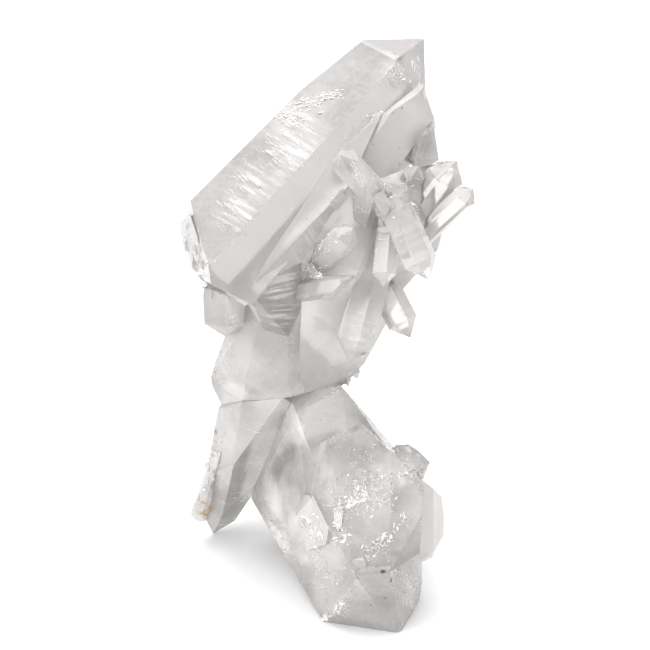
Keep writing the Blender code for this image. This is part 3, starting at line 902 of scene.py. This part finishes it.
def paint(tree, grown, recipe, kind):
    place = add(tree, "TexCoord").outputs["Object"]
    hidden = add(tree, "Attribute", attribute_name="behind").outputs["Fac"]
    strewn = times(ramp(noise(place, 75), 0.5, 0.64), hidden)
    clouds = effect(tree, milk, Place=place, Scale=recipe["clouds"])
    # Milk clouds and milk spots together; the spots are partly painted light
    milk_and_painted_light = plus(times(clouds["Mask"], 0.6), times(near(place, MILK_AND_LIGHT_SPOTS, kind), 0.7))
    milk_and_painted_light = plus(milk_and_painted_light, times(ramp(clouds["Fine"], 0.35, 0.7), 0.3))
    colour = blend_colours(milk_and_painted_light, grey(recipe["tone"]), grey(recipe["milk"]))
    # Painted shade: the colour turns grey at the painted shade spots
    colour = blend_colours(near(place, PAINTED_SHADE_SPOTS, kind), colour, PAINTED_SHADE_GREY)
    where = plus(plus(near(place, SILK_SPOTS, kind), recipe["silk"]), times(strewn, 0.8))
    threads = effect(tree, silk, Growth=grown, Amount=where)["Mask"]
    colour = blend_colours(threads, colour, SILK_WHITE)
    where = plus(plus(near(place, CRACK_SPOTS, kind), recipe["cracks"]), times(strewn, 0.6))
    flaws = times(effect(tree, cracks, Place=place, Size=recipe["size"])["Mask"], where)
    colour = blend_colours(flaws, colour, CRACK_WHITE)
    grit = times(effect(tree, specks, Place=place)["Mask"], recipe["specks"])
    colour = blend_colours(plus(grit, near(place, GRIT_SPOTS, kind)), colour, GRIT)
    rust = times(near(place, STAIN_SPOTS, kind), ramp(clouds["Fine"], 0.42, 0.6))
    return blend_colours(rust, colour, RUST), clouds["Fine"], threads, flaws


# %% One finish as a material
def finish(material, kind):
    recipe = dict(zip(PARTS, RECIPES[kind]))
    material.use_nodes = True
    tree = material.node_tree
    shader = tree.nodes["Principled BSDF"].inputs
    grown = add(tree, "Attribute", attribute_name="growth").outputs["Vector"]
    colour, grain, threads, flaws = paint(tree, grown, recipe, kind)
    feed(colour, shader["Base Color"])
    feed(recipe["through"], shader["Transmission Weight"])
    feed(QUARTZ_IOR, shader["IOR"])
    roughness = plus(times(threads, 0.3), recipe["rough"])
    feed(plus(roughness, times(flaws, 0.3)), shader["Roughness"])
    height = effect(tree, lines, Growth=grown, Strength=recipe["lines"])["Height"]
    height = plus(plus(height, times(grain, 0.25)), times(flaws, 0.5))
    bump = add(tree, "Bump")
    feed(BUMP_STRENGTH, bump.inputs["Strength"])
    feed(BUMP_HEIGHT, bump.inputs["Distance"])
    feed(height, bump.inputs["Height"])
    feed(bump.outputs["Normal"], shader["Normal"])
    veil = add(tree, "VolumeAbsorption")
    feed(INNER_TINT, veil.inputs["Color"])
    feed(INNER_DENSITY, veil.inputs["Density"])
    feed(veil.outputs[0], tree.nodes["Material Output"].inputs["Volume"])
    print(kind, "has", len(tree.nodes), "nodes")


for kind, material in zip(FINISHES, finish_materials):
    finish(material, kind)

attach(cluster, "root")
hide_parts("quartz_cluster")

# %% [markdown]
# ## What shows inside
# Light catches on thin cracks and threads inside clear quartz, and they shine white. Most here are real
# sheets and threads in the stone, so they are modelled: flat flakes with a few facets each in the
# shattered parts of the right leg, long thin splinters that cross the great point just under its
# upper face, wisps along other faces, and veils of flakes all round the back. Some are painted
# highlights: the flakes named for lights stand where reflections shine, and chips along sharp edges
# stand for the light that the edges catch. Their sizes and turns come from one seeded random series.

# %% The white of a crack, and of the painted highlights
glint = bpy.data.materials.new("white_of_cracks_and_highlights")
glint.use_nodes = True
shader = glint.node_tree.nodes["Principled BSDF"].inputs
patchy = ramp(noise(add(glint.node_tree, "TexCoord").outputs["Object"], 900, 3), 0.35, 0.65)
feed(blend_colours(patchy, INNER_TINT, SILK_WHITE), shader["Base Color"])
feed(plus(times(patchy, 0.3), 0.25), shader["Roughness"])

# %% Two small shapes to repeat, each made once by an operator
chance = random.Random(23)


def template(make, **settings):
    """The corners and faces of one small shape."""
    shape = bmesh.new()
    make(shape, **settings)
    corners = [v.co.copy() for v in shape.verts]
    faces = [[v.index for v in face.verts] for face in shape.faces]
    shape.free()
    return corners, faces


BALL = template(bmesh.ops.create_icosphere, subdivisions=1, radius=1)
SPIKE = template(bmesh.ops.create_cone, cap_ends=True, segments=4, radius1=1, radius2=0.1, depth=1)
FULL_TURN = 6.28


def repeat(into, shape, placed):
    corners, faces = shape
    verts = [into.verts.new(inside(placed(corner))) for corner in corners]
    for face in faces:
        into.faces.new([verts[i] for i in face])


def flake(into, centre, size, normal):
    """A thin flat splinter: a ball of 20 faces, squashed along its normal and made ragged."""
    turn = normal.to_track_quat("Z", "Y").to_matrix()
    turn = turn @ Matrix.Rotation(chance.uniform(0, FULL_TURN), 3, "Z")
    scale = Vector((1, chance.uniform(0.35, 0.6), 0.06)) * size * MM

    def placed(corner):
        return centre + turn @ (corner * chance.uniform(0.55, 1.25) * scale)

    repeat(into, BALL, placed)


def thread(into, middle, way, length, width):
    """A thin flat spike, with its middle at a place and its length along a way."""
    turn = way.to_track_quat("Z", "Y").to_matrix()
    scale = Vector((width, width * 0.3, length)) * MM
    repeat(into, SPIKE, lambda corner: middle + turn @ (corner * scale))


def on_line(x0, y0, x1, y1):
    """A random place between two places of the frame."""
    share = chance.uniform(0, 1)
    return x0 + (x1 - x0) * share, y0 + (y1 - y0) * share


# %% Flat flakes: a line from x, y to x, y; spread; how many; largest size in millimetres
# Rows named light or lights are painted highlights: white flakes where reflections shine
FLAKES = {
    "leg_middle": (345, 500, 385, 505, 17, 300, 1), "leg_lights": (347, 502, 366, 494, 7, 280, 1.3),
    "leg_upper": (350, 468, 372, 442, 9, 110, 0.8), "leg_band": (333, 486, 428, 471, 8, 380, 0.9),
    "leg_lump": (336, 505, 342, 542, 7, 150, 1.1), "leg_facet": (308, 515, 318, 545, 8, 150, 1.1),
    "leg_diagonal": (362, 562, 406, 515, 6, 170, 1.2),
    "leg_second": (364, 552, 382, 540, 7, 110, 1.2),
    "foot_corner": (325, 619, 346, 600, 5, 100, 1.1), "foot_right": (404, 575, 418, 598, 7, 60, 0.7),
    "leg_left": (312, 560, 335, 575, 14, 60, 0.6), "leg_low": (345, 590, 395, 570, 16, 90, 0.5),
    "leg_top": (322, 392, 345, 386, 7, 40, 0.7), "leg_neck": (330, 410, 350, 430, 12, 40, 0.5),
    "fan_middle": (372, 180, 400, 205, 18, 80, 0.6), "fan_left": (345, 165, 360, 215, 12, 60, 0.5),
    "trunk_side": (318, 228, 332, 250, 14, 60, 0.6), "trunk_ledge": (300, 255, 325, 275, 8, 50, 0.7),
    "great_tip": (388, 74, 404, 82, 7, 50, 0.8), "left_crust": (217, 440, 206, 500, 6, 80, 0.7),
    "great_low": (200, 245, 208, 280, 8, 60, 0.7), "waist": (213, 352, 216, 374, 5, 40, 0.6),
    "cross_light": (350, 164, 358, 173, 3, 50, 0.8), "band_lights": (303, 262, 342, 212, 7, 150, 0.7),
    "wedge_light": (304, 268, 320, 279, 4, 60, 0.8), "tip_lights": (392, 80, 410, 60, 5, 50, 0.6),
    "step_lights": (300, 280, 262, 268, 7, 50, 0.5), "band_facet": (371, 118, 381, 116, 4, 30, 0.8),
    "second_edge": (340, 145, 372, 118, 6, 50, 0.5),
}
shards_and_highlights = bmesh.new()
for *line, spread, count, largest in FLAKES.values():
    for _ in range(count):
        x, y = on_line(*line)
        depth = chance.uniform(0, 1.1) ** 2 + 0.02  # most lie close under the skin
        spot = scattered(x, y, spread / 2, spread / 2, depth)
        normal = any_way()
        flake(shards_and_highlights, spot, largest * chance.uniform(0.25, 1), normal)
print(len(shards_and_highlights.faces), "faces of flakes")

# %% Long threads across the great point: x, y, spread and how many; none crosses its ridge
THREADS = (
    (238, 212, 12, 50), (258, 188, 14, 70), (280, 162, 15, 90), (302, 135, 13, 60), (228, 225, 8, 24),
)
great_axes = own_axes(*(at(*CRYSTALS["great_point"][end]) for end in ("tip", "root")))
across_it = great_axes.col[0].to_3d()
to_great_point = great_axes.inverted()
ridge = (to_great_point @ seen(*RIDGE)).x
for x, y, spread, count in THREADS:
    for _ in range(count):
        spot = scattered(x, y, spread * 0.6, spread * 0.6, chance.uniform(0.3, 1.2))
        way = (across_it + Vector([chance.gauss(0, 0.05) for _ in range(3)])).normalized()
        room = abs((to_great_point @ spot).x - ridge) / MM
        length = min(chance.uniform(2, 7), 1.8 * room)
        thread(shards_and_highlights, spot, way * chance.choice((-1, 1)), length, chance.uniform(0.06, 0.16))


# %% Wisps: fine threads near a line or a single place of the frame, each turned a little from their way
def wisps(place, spread, way, turned, count, depths, lengths, widths):
    for _ in range(count):
        x, y = on_line(*place) if len(place) == 4 else place
        spot = scattered(x, y, *spread, chance.uniform(*depths))
        bent = (way + Vector((chance.gauss(0, turned), 0, chance.gauss(0, turned)))).normalized()
        thread(shards_and_highlights, spot, bent, chance.uniform(*lengths), chance.uniform(*widths))


SHALLOW = (0.1, 0.5)
FEATHER, FEATHER_END = (286, 113, 344, 92), (289, 117)  # it lies across the view, near the top
wisps(
    FEATHER, spread=(3, 4), way=ACROSS * 0.9 + UP * 0.38, turned=0.2, count=340, depths=SHALLOW,
    lengths=(1, 3.5), widths=(0.1, 0.28),
)
wisps(
    FEATHER_END, spread=(7, 4), way=ACROSS * 0.85 + UP * 0.5, turned=0.3, count=110, depths=SHALLOW,
    lengths=(1, 3), widths=(0.1, 0.3),
)
WISPS = {  # the line; spread, how many, shortest, longest and thickest in millimetres
    "tip_edge": (414, 48, 417, 84, 5, 9, 2.5, 6, 0.1),
    "second_side": (422, 86, 433, 130, 5, 14, 2.5, 6, 0.1),
    "cross_point": (352, 160, 362, 182, 5, 10, 2.5, 6, 0.1),
    "foot_left": (320, 556, 334, 606, 16, 110, 0.7, 2.6, 0.15),
    "foot_ridge": (352, 588, 328, 618, 5, 70, 0.8, 2.4, 0.2),
    "foot_right": (402, 578, 414, 612, 11, 80, 0.7, 2.4, 0.15),
    "leg_top": (326, 396, 346, 440, 15, 70, 0.7, 2.2, 0.14),
    "leg_edge": (358, 398, 390, 448, 5, 40, 1.5, 4, 0.1),
    "leg_side": (262, 500, 300, 570, 6, 40, 0.8, 2.4, 0.12),
}
for *line, spread, count, shortest, longest, thickest in WISPS.values():
    x0, y0, x1, y1 = line
    way = (ACROSS * (x1 - x0) - UP * (y1 - y0)).normalized()
    lengths, widths = (shortest, longest), (0.4 * thickest, thickest)
    wisps(line, (spread / 2, spread / 2), way, 0.12, count, SHALLOW, lengths, widths)
BAND = (295, 254, 323, 221)  # between the great point and the trunk
wisps(
    BAND, spread=(5, 3), way=across_it, turned=0.08, count=120, depths=(0.05, 0.4),
    lengths=(0.8, 2.6), widths=(0.06, 0.16),
)
print(len(shards_and_highlights.faces), "faces with the threads and wisps")

# %% Painted highlights along edges, as white chips: from x, y to x, y in the frame, and how many chips
EDGES = (
    (376, 208, 403, 268, 40), (403, 268, 421, 276, 14), (421, 276, 434, 260, 12),
    (415, 204, 433, 250, 26), (355, 280, 343, 316, 26), (320, 442, 362, 425, 30),
    (362, 425, 393, 455, 24), (303, 297, 330, 294, 16), (312, 264, 323, 278, 26),
    (305, 266, 313, 263, 12), (372, 124, 384, 112, 14), (384, 112, 421, 86, 26),
    (213, 262, 282, 188, 20), (282, 188, 395, 66, 24), (420, 500, 421, 560, 16),
    (300, 418, 313, 450, 14), (353, 586, 326, 620, 24), (389, 578, 404, 626, 20),
)
for *line, count in EDGES:
    for _ in range(count):
        spot = scattered(*on_line(*line), 0.5, 0.5, 0.05)
        turned = any_way()
        flake(shards_and_highlights, spot, chance.uniform(0.12, 0.4), turned)

# %% Veils: healed cracks, each a sheet of flakes, on the faces that turn away from the reader
VEILS, FLAKES_IN_A_VEIL = 34, 46
CLEAR_OF_THE_FLOOR = 3 * MM
hidden = [
    face for face in cluster.data.polygons
    if face.normal.dot(READER) < TURNED_AWAY and face.center.z > CLEAR_OF_THE_FLOOR
]
for face in chance.choices(hidden, weights=[face.area for face in hidden], k=VEILS):
    sheet = any_way()
    turn = sheet.to_track_quat("Z", "Y").to_matrix()
    reach = chance.uniform(2.5, 6) * MM
    for _ in range(FLAKES_IN_A_VEIL):
        angle, out = chance.uniform(0, FULL_TURN), reach * math.sqrt(chance.uniform(0, 1))
        beside = turn @ Vector((math.cos(angle) * out, math.sin(angle) * out * 0.6, 0))
        there = face.center + beside - face.normal * 0.6 * MM
        hit, normal, _, _ = skin_tree.find_nearest(there)
        if (there - hit).dot(normal) > -0.2 * MM:
            there = hit - normal * chance.uniform(0.2, 0.9) * MM
        flake(shards_and_highlights, there, chance.uniform(0.2, 0.7), (sheet - face.normal * 0.3).normalized())
print(len(shards_and_highlights.faces), "faces with the chips and veils")

# %% Threads along the small clear crystals, then the piece
for name, drawn in CRYSTALS.items():
    if FINISH_OF.get(name, "clear") not in ("clear", "hazy"):
        continue
    tip, root = at(*drawn["tip"]), at(*drawn["root"])
    axes, length, size = own_axes(tip, root), (tip - root).length / MM, drawn["widths"]
    for _ in range(int(length * 0.9)):
        angle, out = chance.uniform(0, FULL_TURN), size * chance.uniform(0.3, 0.75)
        deep = -chance.uniform(size * 0.9, length * 0.5)
        spot = axes @ (Vector((math.cos(angle) * out, math.sin(angle) * out, deep)) * MM)
        bent = Vector((chance.gauss(0, 0.06), chance.gauss(0, 0.06), 0))
        way = (axes.col[2].to_3d() + bent).normalized()
        thread(shards_and_highlights, spot, way, chance.uniform(0.8, 3), chance.uniform(0.04, 0.12))
shard_and_highlight_mesh = bpy.data.meshes.new("inner_cracks_and_highlights")
shards_and_highlights.to_mesh(shard_and_highlight_mesh)
shards_and_highlights.free()
shard_and_highlight_mesh.materials.append(glint)
inner_cracks_and_highlights = bpy.data.objects.new("inner_cracks_and_highlights", shard_and_highlight_mesh)
bpy.context.scene.collection.objects.link(inner_cracks_and_highlights)
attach(inner_cracks_and_highlights, "root")
print(len(shard_and_highlight_mesh.polygons), "faces of flakes and threads")

# %% [markdown]
# ## Camera, floor and light
# The camera stands where the ray started, square to the sheet, so what was placed by its frame shows
# there. The floor is plain white paper. Clear stone shows mostly what is round it, so the sky does the
# work: dark near the floor, which draws the edges, and bright above. Two soft boxes add the shape.

# %% The camera
SENSOR = 36
camera = bpy.data.objects.new("camera", bpy.data.cameras.new("camera"))
bpy.context.scene.collection.objects.link(camera)
camera.location = EYE
camera.rotation_euler = (math.radians(90) - LEAN, 0, 0)
camera.data.sensor_width = SENSOR
camera.data.lens = AWAY * SENSOR / WIDE
camera.data.clip_start = 0.01
bpy.context.scene.camera = camera
print("camera at", [round(c, 4) for c in camera.location], "lens", round(camera.data.lens, 1))

# %% The floor
bpy.ops.mesh.primitive_plane_add(size=6, location=(0, 0, 0))
floor = bpy.context.object
floor.name = "floor"
paper = bpy.data.materials.new("white_paper")
paper.use_nodes = True
shader = paper.node_tree.nodes["Principled BSDF"].inputs
feed((0.86, 0.86, 0.86, 1), shader["Base Color"])
feed(0.9, shader["Roughness"])
floor.data.materials.append(paper)

# %% The sky: how high, and how bright
SKY = ((0, 0.06), (0.14, 0.1), (0.3, 0.8), (0.7, 1))
world = bpy.data.worlds.new("studio")
bpy.context.scene.world = world
world.use_nodes = True
background = world.node_tree.nodes["Background"].inputs
apart = add(world.node_tree, "SeparateXYZ")
sky = add(world.node_tree, "ValToRGB")
steps = sky.color_ramp.elements
for position, value in SKY:
    steps.new(position).color = (value, value, value, 1)
for spare in (steps[-1], steps[0]):
    steps.remove(spare)
feed(add(world.node_tree, "TexCoord").outputs["Generated"], apart.inputs[0])
feed(apart.outputs["Z"], sky.inputs["Fac"])
feed(sky.outputs["Color"], background["Color"])
feed(1.16, background["Strength"])

# %% Two soft boxes, both turned to the middle of the stone
STONE_MIDDLE = Vector((0, 0, 0.06))


def soft_light(name, place, size, power):
    lamp = bpy.data.objects.new(name, bpy.data.lights.new(name, "AREA"))
    lamp.data.shape = "SQUARE"
    lamp.data.size = size
    lamp.data.energy = power
    lamp.location = place
    lamp.rotation_euler = (STONE_MIDDLE - lamp.location).to_track_quat("-Z", "Y").to_euler()
    bpy.context.scene.collection.objects.link(lamp)
    print(name, "at", place)


soft_light("top_softbox", place=(-0.1, 0.3, 1.3), size=1.4, power=17)
soft_light("left_softbox", place=(-1, -0.6, 0.7), size=0.7, power=4.5)
bpy.context.scene.view_settings.view_transform = "Standard"
